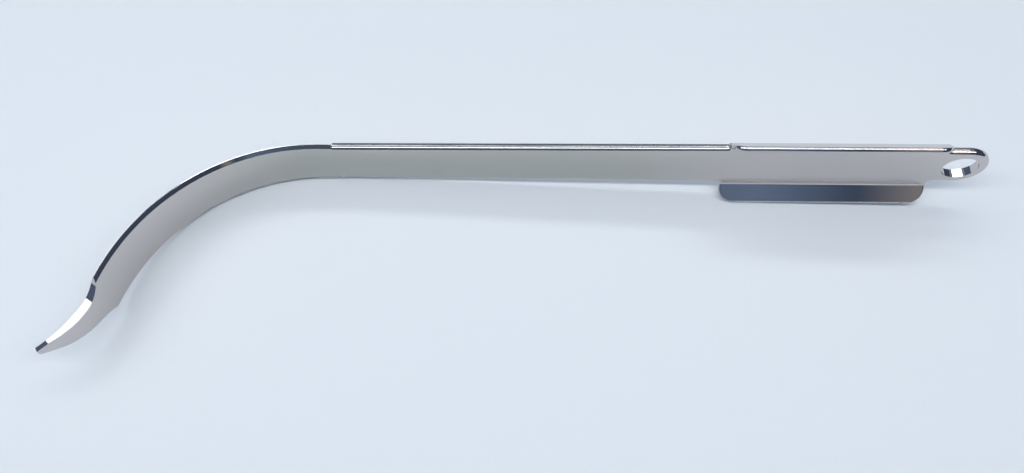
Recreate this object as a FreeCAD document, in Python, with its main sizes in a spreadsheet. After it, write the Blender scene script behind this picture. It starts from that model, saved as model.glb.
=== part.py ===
import FreeCAD, Part
import math
import os
import Sketcher

# A bone-lever retractor in one piece of forged stainless steel, standing on its long edges as
# it comes to rest when it is put down. Millimetres, +Z up, the origin in the middle of the
# finger hole. The toe points to -X and the hollow side faces -Y.
#
# Lengths of the same bar follow each other: the blade with its toe, the shank and its flare,
# the trough-shaped handle and the eyelet. Their faces on the hollow side lie in one plane. Each
# is drawn around the middle of the bar's width, and all are then joined into one solid.

SIZES = {
    # Shank: a flat bar with rounded edges, growing wider towards the handle.
    "bar_thick": 2.5,
    "shank_long": 114.5,
    "shank_wide_fore": 15.8,
    "shank_wide_aft": 17.3,
    # Blade: ground off to thin long edges on the hollow side, and crowned at the back.
    "blade_wide": 17.8,
    "blade_thick": 2.8,
    "blade_lead": 4.1,
    "blade_radius": 55.3,
    "blade_turn": 76.3,
    "bevel_wide": 1.1,
    "bevel_deep": 0.8,
    "edge_thick": 0.15,
    # Toe: a narrow tongue that bends back the other way, thins and ends in a blunt point.
    "toe_radius": 21.0,
    "toe_turn": 46.0,
    "toe_tail": 5.5,
    "toe_thick": 1.2,
    "toe_view": 54.0,
    "shoulder_back": 1.4,
    "neck_reach": 5.5,
    "neck_wide": 8.5,
    "ogive_reach": 12.9,
    "ogive_wide": 6.7,
    "toe_reach": 22.4,
    "toe_wide": 0.9,
    # Handle: the bar pressed flat and wide, with two wings bent up to the hollow side.
    "handle_long": 59.6,
    "handle_flat": 19.5,
    "handle_thick": 1.55,
    "wing_long": 5.8,
    "wing_angle": 43.0,
    "bend_round": 1.2,
    "corner_aft": 4.4,
    "corner_fore": 4.0,
    # Eyelet: a round-edged tongue with the finger hole near its end.
    "eye_wide": 15.4,
    "eye_reach": 6.3,
    "hole_wide": 10.1,
    # How far the thicker shank and eyelet run out on the back of the handle.
    "root_long": 6.0,
}

V = FreeCAD.Vector
SURPLUS = 4.0    # how far a cutting outline runs past the metal that it trims
ROUND_SHARE = 0.42    # a rounded edge's radius, as a share of the thickness: nearly full round
TIP_SHARE = 0.23    # how far the toe's last arc has its centre behind its ends, in toe widths
FORWARD_ANGLE = 15.0    # the place on the blade's bend at which the tool leans forward most
SHARP_ANGLE = 45.0    # faces that meet at more degrees than this have their edge rounded

doc = FreeCAD.newDocument("Retractor")
sheet = doc.addObject("Spreadsheet::Sheet", "Sizes")
for row, (name, value) in enumerate(SIZES.items(), 1):
    sheet.set("A%d" % row, name)
    sheet.set("B%d" % row, str(value))
    sheet.setAlias("B%d" % row, name)
doc.recompute()


def total(*terms):
    """A signed sum of named sizes, such as "eye_wide/2": its value and its expression."""
    value = 0.0
    text = "0"
    for term in terms:
        name, _, divisor = term.lstrip("-").partition("/")
        divisor = divisor or "1"
        sign = -1 if term.startswith("-") else 1
        value += sign * SIZES[name] / float(divisor)
        text += "%s Sizes.%s / %s" % (" -" if sign < 0 else " +", name, divisor)
    return value, text


def body(label):
    """An empty body that carries one length of the tool."""
    part = doc.addObject("PartDesign::Body", label)
    part.Label = label
    return part


def sketch(owner, name, plane, shift=None, shift_text=None):
    """A sketch on one of its body's own planes, moved along that plane's normal."""
    drawn = owner.newObject("Sketcher::SketchObject", name)
    face = [f for f in owner.Origin.OriginFeatures if f.Role == plane][0]
    drawn.AttachmentSupport = (face, [""])
    drawn.MapMode = "FlatFace"
    if shift is not None:
        drawn.AttachmentOffset = FreeCAD.Placement(V(0, 0, shift), FreeCAD.Rotation())
        drawn.setExpression("AttachmentOffset.Base.z", shift_text)
    return drawn


def bind(drawn, kind, *where, to):
    """A dimension of a sketch that follows the sheet: to is its value and its expression."""
    value, text = to
    index = drawn.addConstraint(Sketcher.Constraint(kind, *where, value))
    drawn.setExpression("Constraints[%d]" % index, text)


def pin(drawn, geometry, point, x, y):
    """Both coordinates of a point, measured from the sketch's origin."""
    for kind, to in (("DistanceX", x), ("DistanceY", y)):
        bind(drawn, kind, -1, 1, geometry, point, to=to)


def chain(drawn, points, closed=True):
    """Straight lines through points whose places follow the sheet."""
    spots = [V(x[0], y[0], 0) for x, y in points]
    ends = spots[1:] + spots[:1] if closed else spots[1:]
    first = drawn.GeometryCount
    for start, end in zip(spots, ends):
        drawn.addGeometry(Part.LineSegment(start, end))
    for index, (x, y) in enumerate(points[:len(ends)]):
        if index or closed:
            before = first + (index - 1) % len(points)
            drawn.addConstraint(Sketcher.Constraint("Coincident", before, 2, first + index, 1))
        pin(drawn, first + index, 1, x, y)
    if not closed:
        pin(drawn, first + len(ends) - 1, 2, *points[-1])


def arc(centre, radius, start, end):
    """A counter-clockwise arc between two angles in degrees."""
    circle = Part.Circle(centre, V(0, 0, 1), radius)
    return Part.ArcOfCircle(circle, math.radians(start), math.radians(end))


def share_of(size, share):
    """A share of a named size: its value and its expression."""
    return SIZES[size] * share, "Sizes.%s * %s" % (size, share)


def bar_section(drawn, wide):
    """The bar's section: two flats in the common planes and two narrow sides, well rounded."""
    radius, radius_text = share_of("bar_thick", ROUND_SHARE)
    out, high = SIZES["bar_thick"] / 2, wide[0] / 2
    deep, tall = out - radius, high - radius
    for start, end in (((deep, -high), (-deep, -high)), ((-out, -tall), (-out, tall)),
                       ((-deep, high), (deep, high)), ((out, tall), (out, -tall))):
        drawn.addGeometry(Part.LineSegment(V(*start, 0), V(*end, 0)))
    for x, y, start in ((-deep, -tall, 180), (-deep, tall, 90), (deep, tall, 0), (deep, -tall, 270)):
        drawn.addGeometry(arc(V(x, y, 0), radius, start, start + 90))
    for ends in ((0, 2, 4, 2), (1, 1, 4, 1), (1, 2, 5, 2), (2, 1, 5, 1),
                 (2, 2, 6, 2), (3, 1, 6, 1), (3, 2, 7, 2), (0, 1, 7, 1)):
        drawn.addConstraint(Sketcher.Constraint("Tangent", *ends))
    for kind, index in (("Horizontal", 0), ("Vertical", 1), ("Horizontal", 2), ("Vertical", 3)):
        drawn.addConstraint(Sketcher.Constraint(kind, index))
    for index in (5, 6, 7):
        drawn.addConstraint(Sketcher.Constraint("Equal", 4, index))
    bind(drawn, "Radius", 4, to=(radius, radius_text))
    deep_text = "(Sizes.bar_thick / 2 - %s)" % radius_text
    tall_text = "((%s) / 2 - %s)" % (wide[1], radius_text)
    pin(drawn, 4, 3, (-deep, "-" + deep_text), (-tall, "-" + tall_text))
    pin(drawn, 6, 3, (deep, deep_text), (tall, tall_text))


def degrees(text):
    return "(%s) * 1deg" % text


# Places along the tool, from the hole towards the toe.
handle_aft = total("-eye_reach")
handle_fore = total("-eye_reach", "-handle_long")
bend = total("-eye_reach", "-handle_long", "-shank_long")
blade_start = total("-eye_reach", "-handle_long", "-shank_long", "blade_lead")
near_side = total("-bar_thick/2")

# Half the width of the handle's flat between the bends of its wings, and the place where the
# shank starts to widen to it.
lean = math.radians(SIZES["wing_angle"])
flat_edge = (SIZES["handle_flat"] / 2 - SIZES["bend_round"] * math.tan(lean / 2),
             "Sizes.handle_flat / 2 - Sizes.bend_round * tan(Sizes.wing_angle / 2 * 1deg)")
flare_start = (handle_fore[0] - (flat_edge[0] - SIZES["shank_wide_aft"] / 2),
               "%s - (%s - Sizes.shank_wide_aft / 2)" % (handle_fore[1], flat_edge[1]))

# Blade and toe: one section swept along the line of the hollow side, which runs straight
# for a few millimetres, turns through the blade's bend and turns back in the toe.
blade = body("Blade")
path = sketch(blade, "BladeLine", "XY_Plane")
turn = math.radians(SIZES["blade_turn"])
radius = SIZES["blade_radius"]
centre = V(bend[0], near_side[0] - radius, 0)
bend_end = centre + V(-math.sin(turn), math.cos(turn), 0) * radius
toe_radius = SIZES["toe_radius"]
toe_centre = bend_end + V(-math.sin(turn), math.cos(turn), 0) * toe_radius
leave = turn - math.radians(SIZES["toe_turn"])
toe_start = toe_centre - V(-math.sin(leave), math.cos(leave), 0) * toe_radius
toe_end = toe_start - V(math.cos(leave), math.sin(leave), 0) * SIZES["toe_tail"]
path.addGeometry(Part.LineSegment(V(blade_start[0], near_side[0], 0),
                                  V(bend[0], near_side[0], 0)))
path.addGeometry(arc(centre, radius, 90, 90 + SIZES["blade_turn"]))
path.addGeometry(arc(toe_centre, toe_radius, 270 + math.degrees(leave), 270 + SIZES["blade_turn"]))
path.addGeometry(Part.LineSegment(toe_start, toe_end))
pin(path, 0, 1, blade_start, near_side)
path.addConstraint(Sketcher.Constraint("Horizontal", 0))
bind(path, "Distance", 0, to=total("blade_lead"))
path.addConstraint(Sketcher.Constraint("Tangent", 0, 2, 1, 1))
path.addConstraint(Sketcher.Constraint("Tangent", 1, 2, 2, 2))
path.addConstraint(Sketcher.Constraint("Tangent", 2, 1, 3, 1))
bind(path, "Radius", 1, to=total("blade_radius"))
bind(path, "Radius", 2, to=total("toe_radius"))
bind(path, "Angle", 1, to=(turn, degrees("Sizes.blade_turn")))
bind(path, "Angle", 2, to=(turn - leave, degrees("Sizes.toe_turn")))
bind(path, "Distance", 3, to=total("toe_tail"))

# The section is flat on the hollow side between two bevels and blunt at its thin edges. Its
# back is one arc, so that only its middle has the full thickness.
profile = sketch(blade, "BladeSection", "YZ_Plane", *blade_start)
near, rim = "bar_thick/2", "blade_wide/2"
half = [
    (total("-" + near), total(rim, "-bevel_wide")),
    (total("-" + near, "bevel_deep"), total(rim)),
    (total("-" + near, "bevel_deep", "edge_thick"), total(rim)),
]
other = [(x, (-y[0], "-(%s)" % y[1])) for x, y in half]
chain(profile, half[::-1] + other, closed=False)
crown, crown_text = total("blade_thick", "-bevel_deep", "-edge_thick")
reach, reach_text = total(rim)
back_radius = (reach ** 2 + crown ** 2) / (2 * crown)
back_text = "((%s) * (%s) + (%s) * (%s)) / (2 * (%s))" % (
    reach_text, reach_text, crown_text, crown_text, crown_text)
back_hub = V(near_side[0] + SIZES["blade_thick"] - back_radius, 0, 0)
spread = math.degrees(math.asin(reach / back_radius))
profile.addGeometry(arc(back_hub, back_radius, -spread, spread))
back_arc = len(half + other) - 1
profile.addConstraint(Sketcher.Constraint("Coincident", back_arc, 2, 0, 1))
profile.addConstraint(Sketcher.Constraint("Coincident", back_arc, 1, back_arc - 1, 2))
bind(profile, "Radius", back_arc, to=(back_radius, back_text))
sweep = blade.newObject("PartDesign::AdditivePipe", "BladeSweep")
sweep.Profile = profile
sweep.Spine = (path, ["Edge1", "Edge2", "Edge3", "Edge4"])
sweep.Mode = "Standard"
doc.recompute()

# The toe thins towards its point: its back is cut to an arc that leaves the blade's back
# smoothly and passes the end of the tail at the toe's thickness.
leave_text = "(Sizes.blade_turn - Sizes.toe_turn) * 1deg"
turn_text = "Sizes.blade_turn * 1deg"


def round_bend(distance):
    """The place at the end of the blade's bend that lies at a distance from its centre."""
    value, text = distance
    return ((bend[0] - value * math.sin(turn), "%s - (%s) * sin(%s)" % (bend[1], text, turn_text)),
            (near_side[0] - radius + value * math.cos(turn),
             "%s - Sizes.blade_radius + (%s) * cos(%s)" % (near_side[1], text, turn_text)))


def beyond(place, forward, sideways):
    """A place moved along the tail and square to it, by two sizes."""
    x, y = place
    ahead, aside = SIZES[forward], total(*sideways)
    sine, cosine = math.sin(leave), math.cos(leave)
    return ((x[0] - ahead * cosine + aside[0] * sine,
             "%s - Sizes.%s * cos(%s) + (%s) * sin(%s)" % (x[1], forward, leave_text, aside[1], leave_text)),
            (y[0] - ahead * sine - aside[0] * cosine,
             "%s - Sizes.%s * sin(%s) - (%s) * cos(%s)" % (y[1], forward, leave_text, aside[1], leave_text)))


thinning = sketch(blade, "ToeThinning", "XY_Plane")
toe_hub = round_bend(total("blade_radius", "toe_radius"))
thick_end = round_bend(total("blade_radius", "blade_thick"))
thin_end = beyond(toe_hub, "toe_tail", ("toe_radius", "-toe_thick"))
clear_end = beyond(toe_hub, "toe_tail", ())
hub_spot, thick_spot, thin_spot, clear_spot = [
    V(x[0], y[0], 0) for x, y in (toe_hub, thick_end, thin_end, clear_end)]
inward = (hub_spot - thick_spot).normalize()
chord = thin_spot - thick_spot
thin_radius = chord.dot(chord) / (2 * chord.dot(inward))
thin_hub = thick_spot + inward * thin_radius
sides = [math.degrees(math.atan2(p.y - thin_hub.y, p.x - thin_hub.x)) for p in (thin_spot, thick_spot)]
thinning.addGeometry(Part.LineSegment(clear_spot, thick_spot))
thinning.addGeometry(Part.LineSegment(clear_spot, thin_spot))
thinning.addGeometry(arc(thin_hub, thin_radius, *sides))
thinning.addGeometry(Part.LineSegment(hub_spot, thick_spot), True)
thinning.addConstraint(Sketcher.Constraint("Coincident", 0, 1, 1, 1))
thinning.addConstraint(Sketcher.Constraint("Coincident", 0, 2, 2, 2))
thinning.addConstraint(Sketcher.Constraint("Coincident", 1, 2, 2, 1))
thinning.addConstraint(Sketcher.Constraint("Coincident", 0, 2, 3, 2))
thinning.addConstraint(Sketcher.Constraint("PointOnObject", 2, 3, 3))
pin(thinning, 3, 1, *toe_hub)
pin(thinning, 0, 1, *clear_end)
pin(thinning, 0, 2, *thick_end)
pin(thinning, 1, 2, *thin_end)
thin_cut = blade.newObject("PartDesign::Pocket", "ToeThinned")
thin_cut.Profile = thinning
thin_cut.SideType = "Symmetric"
thin_cut.Type = "ThroughAll"
doc.recompute()

# The shoulders and the toe are cut across the bend, seen square to the middle of the toe,
# where the outline has nearly its true shape. It starts at the end of the blade's bend.
outline = sketch(blade, "ToeOutline", "XZ_Plane")
view = FreeCAD.Rotation(V(0, 1, 0), SIZES["toe_view"])
outline.AttachmentOffset = FreeCAD.Placement(V(bend_end.x, 0, -bend_end.y), view)
end_text = "(%s) - Sizes.blade_radius * sin(Sizes.blade_turn * 1deg)" % bend[1]
drop_text = "%s + Sizes.blade_radius * (1 - cos(Sizes.blade_turn * 1deg))" % total(near)[1]
outline.setExpression("AttachmentOffset.Base.x", end_text)
outline.setExpression("AttachmentOffset.Base.z", drop_text)
outline.setExpression("AttachmentOffset.Rotation.Angle", degrees("Sizes.toe_view"))


def toe_point(along, width, sign):
    """A corner of the toe's outline: how far along the toe, and half its width up or down."""
    value, text = total(width + "/2")
    reach = total(*along)
    return (-reach[0], "-(%s)" % reach[1]), (sign * value, "%d * (%s)" % (sign, text))


upper = [
    toe_point(("-shoulder_back",), "blade_wide", 1),
    toe_point(("neck_reach",), "neck_wide", 1),
    toe_point(("ogive_reach",), "ogive_wide", 1),
    toe_point(("toe_reach",), "toe_wide", 1),
]
lower = [(x, (-y[0], "-(%s)" % y[1])) for x, y in upper]
rim_up, neck_up, ogive_up, tip_up = [V(x[0], y[0], 0) for x, y in upper]
rim_low, neck_low, ogive_low, tip_low = [V(x[0], y[0], 0) for x, y in lower]
clear_up = rim_up + V(0, SURPLUS, 0)
clear_low = rim_low - V(0, SURPLUS, 0)
far_up = V(tip_up.x - SURPLUS, clear_up.y, 0)
far_low = V(tip_up.x - SURPLUS, clear_low.y, 0)


def hub_of(meet, line_end, other):
    """Centre of the arc that leaves a line at meet and passes through another point."""
    along = (meet - line_end).normalize()
    across_line = V(-along.y, along.x, 0)
    chord = other - meet
    return meet + across_line * (chord.dot(chord) / (2 * chord.dot(across_line)))


def arc_between(hub, start, end):
    """A counter-clockwise arc about a centre from one point to another."""
    first, last = [math.degrees(math.atan2(p.y - hub.y, p.x - hub.x)) for p in (start, end)]
    return arc(hub, (start - hub).Length, first, last if last > first else last + 360)


tip_round = (SIZES["toe_wide"] * TIP_SHARE, "Sizes.toe_wide * %s" % TIP_SHARE)
round_hub = V(tip_up.x + tip_round[0], 0, 0)
edges = [
    (Part.LineSegment(clear_up, rim_up), 1, 2),
    (arc_between(hub_of(neck_up, ogive_up, rim_up), neck_up, rim_up), 2, 1),
    (Part.LineSegment(neck_up, ogive_up), 1, 2),
    (arc_between(hub_of(ogive_up, neck_up, tip_up), ogive_up, tip_up), 1, 2),
    (arc_between(round_hub, tip_up, tip_low), 1, 2),
    (arc_between(hub_of(ogive_low, neck_low, tip_low), tip_low, ogive_low), 1, 2),
    (Part.LineSegment(ogive_low, neck_low), 1, 2),
    (arc_between(hub_of(neck_low, ogive_low, rim_low), rim_low, neck_low), 2, 1),
    (Part.LineSegment(rim_low, clear_low), 1, 2),
    (Part.LineSegment(clear_low, far_low), 1, 2),
    (Part.LineSegment(far_low, far_up), 1, 2),
    (Part.LineSegment(far_up, clear_up), 1, 2),
]
for edge, _, _ in edges:
    outline.addGeometry(edge)
for index, (_, _, last) in enumerate(edges):
    following = (index + 1) % len(edges)
    smooth = index in (1, 2, 5, 6)
    outline.addConstraint(Sketcher.Constraint("Tangent" if smooth else "Coincident",
                                              index, last, following, edges[following][1]))
for index, place in enumerate(upper + lower[::-1], 1):
    pin(outline, index, edges[index][1], *place)
bind(outline, "DistanceX", 4, 1, 4, 3, to=tip_round)
for index in (0, 8, 10):
    outline.addConstraint(Sketcher.Constraint("Vertical", index))
for index in (9, 11):
    outline.addConstraint(Sketcher.Constraint("Horizontal", index))
for index in (0, 8):
    bind(outline, "Distance", index, to=(SURPLUS, str(SURPLUS)))
bind(outline, "DistanceX", 10, 1, 4, 1, to=(SURPLUS, str(SURPLUS)))
trim = blade.newObject("PartDesign::Pocket", "ToeCut")
trim.Profile = outline
trim.SideType = "Symmetric"
trim.Type = "ThroughAll"
blade.Tip = trim
doc.recompute()
assert trim.Shape.Volume < thin_cut.Shape.Volume < sweep.Shape.Volume, "the toe's outline cuts nothing"

# Shank: from the start of the blade to where it starts to widen for the handle.
shank = body("Shank")
fore = sketch(shank, "ShankFore", "YZ_Plane", *blade_start)
bar_section(fore, total("shank_wide_fore"))
aft = sketch(shank, "ShankAft", "YZ_Plane", *flare_start)
bar_section(aft, total("shank_wide_aft"))
bar = shank.newObject("PartDesign::AdditiveLoft", "ShankBar")
bar.Profile = fore
bar.Sections = [aft]
shank.Tip = bar

# Handle: half of the trough's section, as thick all over, drawn out along the handle and
# mirrored. The wings are bent, so their inner and outer roundings share a centre.
handle = body("Handle")
trough = sketch(handle, "TroughSection", "YZ_Plane", *handle_fore)
rise = V(-math.sin(lean), math.cos(lean), 0)
across = V(math.cos(lean), math.sin(lean), 0)
thick = SIZES["handle_thick"]
back_side = near_side[0] + thick
crease = V(near_side[0], SIZES["handle_flat"] / 2, 0)
lip_near = crease + rise * SIZES["wing_long"]
lip_far = lip_near + across * thick
back_crease = V(back_side, crease.y + thick * math.tan(lean / 2), 0)
corners = [V(near_side[0], 0, 0), crease, lip_near, lip_far, back_crease, V(back_side, 0, 0)]
for start, end in zip(corners, corners[1:] + corners[:1]):
    trough.addGeometry(Part.LineSegment(start, end))
for index in range(len(corners)):
    following = (index + 1) % len(corners)
    trough.addConstraint(Sketcher.Constraint("Coincident", index, 2, following, 1))
for kind, index in (("Vertical", 0), ("Vertical", 4), ("Horizontal", 5)):
    trough.addConstraint(Sketcher.Constraint(kind, index))
trough.addConstraint(Sketcher.Constraint("Perpendicular", 1, 2))
trough.addConstraint(Sketcher.Constraint("Parallel", 1, 3))
pin(trough, 0, 1, near_side, (0.0, "0"))
bind(trough, "Distance", 0, to=total("handle_flat/2"))
bind(trough, "Angle", 1, to=(lean + math.pi / 2, degrees("90 + Sizes.wing_angle")))
bind(trough, "Distance", 1, to=total("wing_long"))
bind(trough, "Distance", 2, to=total("handle_thick"))
bind(trough, "Distance", 5, to=total("handle_thick"))
half_handle = handle.newObject("PartDesign::Pad", "HalfTrough")
half_handle.Profile = trough
half_handle.Length = SIZES["handle_long"]
half_handle.setExpression("Length", "Sizes.handle_long")
mirrored = handle.newObject("PartDesign::Mirrored", "Trough")
mirrored.Originals = [half_handle]
mirrored.MirrorPlane = ([f for f in handle.Origin.OriginFeatures if f.Role == "XY_Plane"][0], [""])
handle.Tip = mirrored
doc.recompute()


def middle_of(edge):
    """The point halfway along an edge."""
    return edge.valueAt((edge.FirstParameter + edge.LastParameter) / 2)


def corner_angle(shape, edge):
    """The angle in degrees between the two faces that meet at an edge's middle."""
    spot = middle_of(edge)
    faces = shape.ancestorsOfType(edge, Part.Face)
    normals = [face.normalAt(*face.Surface.parameter(spot)) for face in faces]
    return math.degrees(normals[0].getAngle(normals[-1]))


def rounded(owner, name, base, radius, chosen):
    """A fillet on the edges that chosen picks, of a radius that follows the sheet."""
    names = []
    for index, edge in enumerate(base.Shape.Edges, 1):
        if chosen(edge):
            names.append("Edge%d" % index)
    fillet = owner.newObject("PartDesign::Fillet", name)
    fillet.Base = (base, names)
    fillet.Radius = radius[0]
    fillet.setExpression("Radius", radius[1])
    owner.Tip = fillet
    doc.recompute()
    return fillet


def along_bar(edge):
    return edge.BoundBox.XLength > SIZES["handle_long"] - 0.01


def at_bend(edge, corner):
    """A long edge of the handle at one of the corners of its section."""
    spot = middle_of(edge)
    return along_bar(edge) and math.hypot(spot.y - corner.x, abs(spot.z) - corner.y) < 0.01


def at_wing_end(edge, x):
    """The edge through the wing's thickness at one of the handle's ends."""
    spot = middle_of(edge)
    return abs(spot.x - x) < 0.01 and abs(spot.z) > lip_near.y and not along_bar(edge)


inner_bend = rounded(handle, "InnerBends", mirrored, total("bend_round"),
                     lambda edge: at_bend(edge, crease))
outer_bend = rounded(handle, "OuterBends", inner_bend, total("bend_round", "handle_thick"),
                     lambda edge: at_bend(edge, back_crease))
aft_round = rounded(handle, "AftCorners", outer_bend, total("corner_aft"),
                    lambda edge: at_wing_end(edge, handle_aft[0]))
fore_round = rounded(handle, "ForeCorners", aft_round, total("corner_fore"),
                     lambda edge: at_wing_end(edge, handle_fore[0]))
rim_round = rounded(handle, "RimRounding", fore_round, share_of("handle_thick", ROUND_SHARE),
                    lambda edge: corner_angle(fore_round.Shape, edge) > SHARP_ANGLE)

# Where the bar meets an end of the handle it widens in two hollow arcs, up to where the wings'
# bends begin, and inside the handle it narrows again and runs out in a slope on the back.
def flared(label, handle_end, wide, side, closing):
    """A plate of the bar's thickness from inside the handle's end to the bar's plain width.
    closing draws the rest of its outline, beyond the place where the arcs end."""
    owner = body(label)
    drawn = sketch(owner, label + "Plan", "XZ_Plane")
    reach = (flat_edge[0] - wide[0], "(%s - (%s))" % (flat_edge[1], wide[1]))
    hub = (handle_end[0] + side * reach[0], "%s + %d * %s" % (handle_end[1], side, reach[1]))
    root = (handle_end[0] - side * SIZES["root_long"],
            "%s - %d * Sizes.root_long" % (handle_end[1], side))
    low, low_root = [(-value, "-(%s)" % text) for value, text in (flat_edge, wide)]
    chain(drawn, [(handle_end, flat_edge), (root, wide), (root, low_root), (handle_end, low)],
          closed=False)
    drawn.addGeometry(arc(V(hub[0], low[0], 0), reach[0], *((0, 90) if side < 0 else (90, 180))))
    drawn.addGeometry(arc(V(hub[0], -low[0], 0), reach[0], *((270, 360) if side < 0 else (180, 270))))
    low_flat, low_bar = (1, 2) if side < 0 else (2, 1)
    for where in ((2, 2, 3, low_flat), (0, 1, 4, low_bar)):
        drawn.addConstraint(Sketcher.Constraint("Coincident", *where))
    pin(drawn, 3, 3, hub, low)
    pin(drawn, 4, 3, hub, flat_edge)
    for corner, corner_end in ((3, low_bar), (4, low_flat)):
        bind(drawn, "DistanceX", -1, 1, corner, corner_end, to=hub)
    closing(drawn, hub[0], low_bar, low_flat)
    plate = owner.newObject("PartDesign::Pad", label + "Plate")
    plate.Profile = drawn
    plate.SideType = "Symmetric"
    plate.Length = SIZES["bar_thick"]
    plate.setExpression("Length", "Sizes.bar_thick")
    doc.recompute()

    def at_outline(edge):
        """A long edge of the outline on one of the faces, away from the hole."""
        spot = middle_of(edge)
        on_face = edge.BoundBox.YLength < 1e-6 and edge.BoundBox.XLength > 1e-3
        return on_face and math.hypot(spot.x, spot.z) > eye_radius - 1e-3

    rounded(owner, label + "Rounding", plate, share_of("bar_thick", ROUND_SHARE), at_outline)
    slope = sketch(owner, label + "Slope", "XY_Plane")
    bar_back, handle_back = total("bar_thick/2"), total("-bar_thick/2", "handle_thick")
    chain(slope, [(handle_end, bar_back), (root, bar_back), (root, handle_back)])
    sloped = owner.newObject("PartDesign::Pocket", label + "RunOut")
    sloped.Profile = slope
    sloped.SideType = "Symmetric"
    sloped.Type = "ThroughAll"
    owner.Tip = sloped
    doc.recompute()
    return owner


def closed_straight(drawn, x, low_bar, high_bar):
    """Ends the outline square across the bar, where the shank begins."""
    wide = SIZES["shank_wide_aft"] / 2
    drawn.addGeometry(Part.LineSegment(V(x, -wide, 0), V(x, wide, 0)))
    drawn.addConstraint(Sketcher.Constraint("Coincident", 5, 1, 3, low_bar))
    drawn.addConstraint(Sketcher.Constraint("Coincident", 5, 2, 4, high_bar))


def closed_round(drawn, x, low_bar, high_bar):
    """Ends the outline as the eyelet: round about the hole's axis, with the hole in it."""
    drawn.addGeometry(Part.LineSegment(V(x, eye_radius, 0), V(0, eye_radius, 0)))
    drawn.addGeometry(arc(V(0, 0, 0), eye_radius, -90, 90))
    drawn.addGeometry(Part.LineSegment(V(0, -eye_radius, 0), V(x, -eye_radius, 0)))
    drawn.addGeometry(Part.Circle(V(0, 0, 0), V(0, 0, 1), SIZES["hole_wide"] / 2))
    for where in ((5, 1, 4, high_bar), (5, 2, 6, 2), (6, 1, 7, 1), (7, 2, 3, low_bar),
                  (6, 3, -1, 1), (8, 3, -1, 1)):
        drawn.addConstraint(Sketcher.Constraint("Coincident", *where))
    bind(drawn, "Radius", 6, to=total("eye_wide/2"))
    bind(drawn, "Radius", 8, to=total("hole_wide/2"))
    for index in (1, 2):
        bind(drawn, "DistanceX", -1, 1, 6, index, to=(0.0, "0"))


eye_radius = SIZES["eye_wide"] / 2
flare = flared("Flare", handle_fore, total("shank_wide_aft/2"), -1, closed_straight)
eyelet = flared("Eyelet", handle_aft, total("eye_wide/2"), 1, closed_round)

# The whole tool, joined into one solid.
retractor = doc.addObject("Part::MultiFuse", "Retractor")
retractor.Label = "retractor"
retractor.Shapes = [blade, shank, flare, handle, eyelet]
retractor.Refine = True
doc.recompute()

# At rest the tool stands on its lower long edges: on the fore end of the lower wing's lip and
# on one point of the blade's bend. It rocks along the bend until its centre of mass lies
# over the line through the two, and the whole tool is turned about the middle of the hole.
lip_round = share_of("handle_thick", ROUND_SHARE)[0]
lip_axis = lip_far - (across + rise) * lip_round
lip_spot = V(handle_fore[0] + SIZES["corner_fore"], lip_axis.x, -lip_axis.y - lip_round)
edge_depth = SIZES["bevel_deep"] + SIZES["edge_thick"]
mass_centre = retractor.Shape.Solids[0].CenterOfMass


def standing(angle):
    """The upward direction when the tool stands on the blade's bend at an angle in degrees, and
    how far the centre of mass then lies behind the line through the two spots it stands on."""
    along = math.radians(angle)
    outward = V(-math.sin(along), math.cos(along), 0)
    spot = centre + outward * (radius + edge_depth) - V(0, 0, SIZES["blade_wide"] / 2)
    line = (lip_spot - spot).normalize()
    upward = line.cross(V(outward.y, -outward.x, 0))
    if upward.z < 0:
        upward = -upward
    upward.normalize()
    return upward, (mass_centre - spot).dot(upward.cross(line))


low_angle, high_angle = FORWARD_ANGLE, SIZES["blade_turn"]
assert standing(low_angle)[1] < 0 < standing(high_angle)[1], "the tool can't stand on its side"
while high_angle - low_angle > 1e-6:
    angle = (low_angle + high_angle) / 2
    if standing(angle)[1] < 0:
        low_angle = angle
    else:
        high_angle = angle
up = standing(angle)[0]
retractor.Placement = FreeCAD.Placement(V(0, 0, 0), FreeCAD.Rotation(up, V(0, 0, 1)))
doc.recompute()

for item in doc.Objects:
    assert "Invalid" not in item.State and "Error" not in item.State, item.Name
shape = retractor.Shape
assert not shape.isNull() and shape.isValid() and len(shape.Solids) == 1, "not one solid"

os.makedirs("parts", exist_ok=True)
shape.exportStep("parts/%s.step" % retractor.Label)
box = shape.optimalBoundingBox(False)
print("volume %.0f mm3, box %.1f x %.1f x %.1f mm" % (
    shape.Volume, box.XLength, box.YLength, box.ZLength))
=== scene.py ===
import math

import bpy
from mathutils import Euler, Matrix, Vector


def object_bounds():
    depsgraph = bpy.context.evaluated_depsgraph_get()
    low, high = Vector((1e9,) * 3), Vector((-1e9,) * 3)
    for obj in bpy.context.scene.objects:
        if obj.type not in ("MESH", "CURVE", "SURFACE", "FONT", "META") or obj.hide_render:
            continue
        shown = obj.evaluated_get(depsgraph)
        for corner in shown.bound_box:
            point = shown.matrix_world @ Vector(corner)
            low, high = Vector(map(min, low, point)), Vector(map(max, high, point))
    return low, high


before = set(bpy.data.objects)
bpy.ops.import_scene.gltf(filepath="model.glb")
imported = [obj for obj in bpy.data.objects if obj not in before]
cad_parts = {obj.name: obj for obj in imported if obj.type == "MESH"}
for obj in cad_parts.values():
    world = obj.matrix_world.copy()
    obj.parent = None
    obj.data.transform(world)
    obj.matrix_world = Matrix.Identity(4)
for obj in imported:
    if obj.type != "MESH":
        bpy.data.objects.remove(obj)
cad_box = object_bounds()

# The tool: a bone lever made in one piece of stainless steel, then satin-ground along its
# length and buffed bright on its edges and wings. It is the CAD solid itself, which gets its
# finish here; its colour also carries a painted reflection, paler towards both ends and duller
# along the middle of the bar. Lengths are in metres, and every pattern reads object coordinates.

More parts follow.
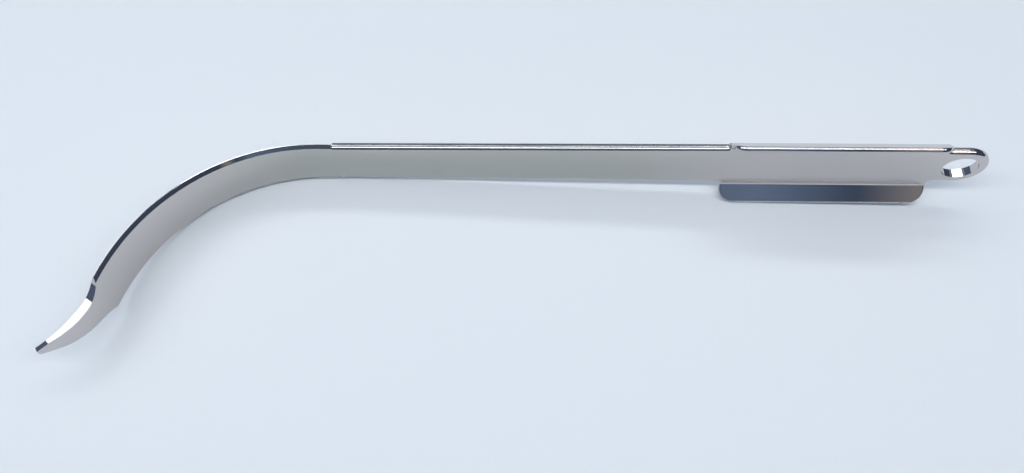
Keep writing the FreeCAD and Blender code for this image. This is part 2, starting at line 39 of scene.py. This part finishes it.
STEEL_PALE_AND_PAINTED_BRIGHT = (0.645, 0.595, 0.59)       # towards both ends of the tool: painted reflection, and one end of the random tone
STEEL_DULL_AND_PAINTED_DIM = (0.443, 0.455, 0.415)      # in the middle, along the bar: painted reflection, and the other end of the random tone
LENGTH_AXIS = (1.0, 0.0, 0.0)
WIDTH_AXIS = (-0.04207, 0.09361, 0.99472)    # across the bar, as the tool stands on the table
SATIN_ROUGH = 0.20                      # on the faces
POLISHED_ROUGH = 0.035                  # on the edges and the wings
STREAK_ROUGH = 0.03
FACE_LEAN, EDGE_LEAN = 0.20, 0.55       # how far a normal leans across the bar where each begins
STREAKS_PER_METRE = 1500.0
STREAK_DETAIL = 3.0
FINE_STREAKS_PER_METRE = 6500.0
FINE_STREAK_DETAIL = 2.0
STREAK_STRETCH = 0.012                  # how much slower a streak changes along than across
STREAK_SHARE = 0.5                      # how deep the broad streaks are, measured by the fine ones
CLOUDS_PER_METRE = 16.0
CLOUD_DETAIL = 3.0
PAINTED_REFLECTION_SHARE = 0.65                     # how much of the colour's change is painted reflection, from paler ends to a duller middle
CLOUD_SHARE = 0.15                      # how much of it comes in clouds; the rest is in streaks
PAINTED_DIM_FROM, PAINTED_DIM_TO = -0.205, -0.075    # where the painted duller reflection of the middle starts and ends along X
PAINTED_DIM_FADE = 0.025
GRIND_DEPTH = 0.000012
GRIND_STRENGTH = 0.18
EDGE_BREAK = 0.00008                    # how far the ground edges are broken by polishing
EDGE_BREAK_SAMPLES = 4


class Socket:
    """An output of a node tree: sums and products of sockets add Math nodes."""

    def __init__(self, output):
        self.output = output
        self.tree = output.id_data

    def node(self, kind, outlet, settings=None, **inputs):
        """Adds a node: its settings come first, then the values or links of its inputs.

        An input goes by its name, with _ for a space, or by its number, as in i0.
        """
        made = self.tree.nodes.new(kind)
        for name, value in (settings or {}).items():
            if name == "stops":
                fill_ramp(made.color_ramp, value)
            else:
                setattr(made, name, value)
        for name, value in inputs.items():
            numbered = name[1:].isdigit()
            target = made.inputs[int(name[1:]) if numbered else name.replace("_", " ")]
            if isinstance(value, Socket):
                value.feeds(target)
            else:
                target.default_value = value
        return Socket(made.outputs[outlet])

    def feeds(self, target):
        self.tree.links.new(self.output, target)

    def math(self, operation, *others):
        values = {"i%d" % (k + 1): v for k, v in enumerate(others)}
        return self.node("ShaderNodeMath", 0, {"operation": operation}, i0=self, **values)

    def __add__(self, other):
        return self.math("ADD", other)

    __radd__ = __add__

    def __mul__(self, other):
        return self.math("MULTIPLY", other)

    __rmul__ = __mul__

    def __sub__(self, other):
        return self.math("SUBTRACT", other)

    def __rsub__(self, other):
        return self.math("MULTIPLY", -1.0).math("ADD", other)

    def vector_math(self, operation, outlet, **inputs):
        return self.node("ShaderNodeVectorMath", outlet, {"operation": operation}, i0=self, **inputs)

    def dot(self, vector):
        return self.vector_math("DOT_PRODUCT", "Value", i1=vector)

    def scaled(self, factor):
        return self.vector_math("SCALE", "Vector", Scale=factor)

    def plus(self, other):
        return self.vector_math("ADD", "Vector", i1=other)

    def ramp(self, low, high, to_low=0.0, to_high=1.0):
        """The value mapped smoothly from one range to another and held at the ends."""
        return self.node("ShaderNodeMapRange", 0, {"interpolation_type": "SMOOTHSTEP"}, Value=self,
                         From_Min=low, From_Max=high, To_Min=to_low, To_Max=to_high)

    def between(self, first, second):
        """A colour between two others, with this socket as the factor."""
        return self.node("ShaderNodeMix", "Result", {"data_type": "RGBA"}, Factor=self,
                         A=(*first, 1.0), B=(*second, 1.0))


def fill_ramp(ramp, stops):
    """Gives a colour ramp its stops, each a position and a colour."""
    while len(ramp.elements) < len(stops):
        ramp.elements.new(0.5)
    for element, (position, colour) in zip(ramp.elements, stops):
        element.position = position
        element.color = (*colour, 1.0)


def coordinates(tree, kind):
    return Socket(tree.nodes.new("ShaderNodeTexCoord").outputs[kind])


def new_material(name):
    """A material with its Principled shader."""
    made = bpy.data.materials.new(name)
    made.use_nodes = True
    return made, made.node_tree.nodes["Principled BSDF"]


def noise(place, scale, detail):
    return place.node("ShaderNodeTexNoise", "Fac", Vector=place, Scale=scale, Detail=detail)


def streaked(place, per_metre, detail):
    """A noise whose coordinates are squeezed along the tool, so that it becomes streaks."""
    across = place.dot(WIDTH_AXIS) * per_metre
    squeezed = place.scaled(per_metre * STREAK_STRETCH)
    return noise(squeezed.plus(across.node("ShaderNodeCombineXYZ", "Vector", Z=across)), 1.0, detail)


def rises_at(along, middle):
    """A mask that goes from 0 to 1 around a place along the tool."""
    return along.ramp(middle - PAINTED_DIM_FADE, middle + PAINTED_DIM_FADE)


steel, shader = new_material("satin_steel")
place = coordinates(steel.node_tree, "Object")
streaks = streaked(place, STREAKS_PER_METRE, STREAK_DETAIL)
fine = streaked(place, FINE_STREAKS_PER_METRE, FINE_STREAK_DETAIL)
clouds = noise(place, CLOUDS_PER_METRE, CLOUD_DETAIL)

# Painted reflection: the base colour is made paler towards both ends and duller along the middle of
# the bar, standing in for the darker surroundings the middle mirrors; the clouds and streaks are the
# steel's own random tone.
along = place.dot(LENGTH_AXIS)
painted_dim_middle = rises_at(along, PAINTED_DIM_FROM) - rises_at(along, PAINTED_DIM_TO)
shade = painted_dim_middle * PAINTED_REFLECTION_SHARE + clouds * CLOUD_SHARE + streaks * (1.0 - PAINTED_REFLECTION_SHARE - CLOUD_SHARE)
shade.between(STEEL_PALE_AND_PAINTED_BRIGHT, STEEL_DULL_AND_PAINTED_DIM).feeds(shader.inputs["Base Color"])
shader.inputs["Metallic"].default_value = 1.0

lean = coordinates(steel.node_tree, "Normal").dot(WIDTH_AXIS).math("ABSOLUTE")
satin = lean.ramp(FACE_LEAN, EDGE_LEAN, SATIN_ROUGH, POLISHED_ROUGH)
rough = satin + (streaks + fine - 1.0) * STREAK_ROUGH
rough.feeds(shader.inputs["Roughness"])

edge = place.node("ShaderNodeBevel", "Normal", {"samples": EDGE_BREAK_SAMPLES}, Radius=EDGE_BREAK)
grind = fine + streaks * STREAK_SHARE
ground = grind.node("ShaderNodeBump", "Normal", Height=grind, Normal=edge,
                    Strength=GRIND_STRENGTH, Distance=GRIND_DEPTH)
ground.feeds(shader.inputs["Normal"])

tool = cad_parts["retractor"]
tool.data.materials.clear()
tool.data.materials.append(steel)

# The table: a plain pale top, slightly blue and without gloss. The tool stands on it, and it
# reaches past the edges of the camera's view.

TABLE_SIZE = 3.0
TABLE_COLOUR = (0.75, 0.80, 0.83)
TABLE_ROUGH = 0.6
low, high = cad_box
centre = (low[0] + high[0]) / 2


def level_sheet(name, centre, size, height):
    """A flat square with its middle over the X axis."""
    half = size / 2
    corners = [(centre + half * x, half * y, height) for x, y in ((-1, -1), (1, -1), (1, 1), (-1, 1))]
    mesh = bpy.data.meshes.new(name)
    mesh.from_pydata(corners, [], [(0, 1, 2, 3)])
    made = bpy.data.objects.new(name, mesh)
    bpy.context.scene.collection.objects.link(made)
    return made


table = level_sheet("table", centre, TABLE_SIZE, low[2])
table_top, shader = new_material("pale_table")
shader.inputs["Base Color"].default_value = (*TABLE_COLOUR, 1.0)
shader.inputs["Roughness"].default_value = TABLE_ROUGH
shader.inputs["Specular IOR Level"].default_value = 0.0
table.data.materials.append(table_top)

# The light: a narrow softbox close overhead, one behind the tool and one at its left, below a
# large dim ceiling. The room in front is dark and blue, and it is what the lower wing mirrors.

# The room's colours, from its left side at 0 to its right side at 1.
ROOM = [
    (0.45, (0.11, 0.15, 0.24)),
    (0.60, (0.16, 0.23, 0.36)),
    (0.645, (0.06, 0.09, 0.15)),
    (0.675, (0.31, 0.30, 0.31)),
    (0.70, (0.06, 0.08, 0.13)),
]
AIM = Vector((-0.13, 0.0, 0.0))
LAMPS = {
    "overhead": {"place": (-0.13, -0.09, 0.48), "size": (1.2, 0.06), "watts": 2.1},
    "rear": {"place": (-0.10, 0.72, 1.08), "size": (1.3, 0.14), "watts": 3.6},
    "left": {"place": (-0.95, 0.27, 0.91), "size": (0.8, 0.5), "watts": 2.2},
    "ceiling": {"place": (-0.13, 0.2, 2.0), "size": (4.0, 4.0), "watts": 12.0},
}

room = bpy.data.worlds.new("room")
room.use_nodes = True
# How far to the right a direction points, from 0 to 1.
sideways = coordinates(room.node_tree, "Generated").dot((0.5, 0.0, 0.0)) + 0.5
walls = sideways.node("ShaderNodeValToRGB", "Color", {"stops": ROOM}, Fac=sideways)
walls.feeds(room.node_tree.nodes["Background"].inputs["Color"])
bpy.context.scene.world = room


def softbox(name, place, size, watts):
    """A rectangular lamp that faces the tool."""
    lamp = bpy.data.lights.new(name, "AREA")
    lamp.shape = "RECTANGLE"
    lamp.size, lamp.size_y = size
    lamp.energy = watts
    made = bpy.data.objects.new(name, lamp)
    made.location = place
    made.rotation_euler = (AIM - Vector(place)).to_track_quat("-Z", "Y").to_euler()
    bpy.context.scene.collection.objects.link(made)


for name, lamp in LAMPS.items():
    softbox(name, **lamp)

# The camera: above the hollow side, looking down at the whole tool from where the photo was
# taken.

CAMERA_PLACE = (-0.12951, -0.12166, 0.24841)
CAMERA_TURN = (21.1641, -1.3113, 1.0946)    # degrees about X, Y and Z
CAMERA_LENS = 34.595                        # millimetres
CAMERA_NEAR = 0.01
camera = bpy.data.cameras.new("camera")
camera.lens = CAMERA_LENS
camera.clip_start = CAMERA_NEAR
viewer = bpy.data.objects.new("camera", camera)
viewer.location = CAMERA_PLACE
viewer.rotation_euler = Euler([math.radians(angle) for angle in CAMERA_TURN], "XYZ")
bpy.context.scene.collection.objects.link(viewer)
bpy.context.scene.camera = viewer
bpy.context.scene.view_settings.view_transform = "Standard"
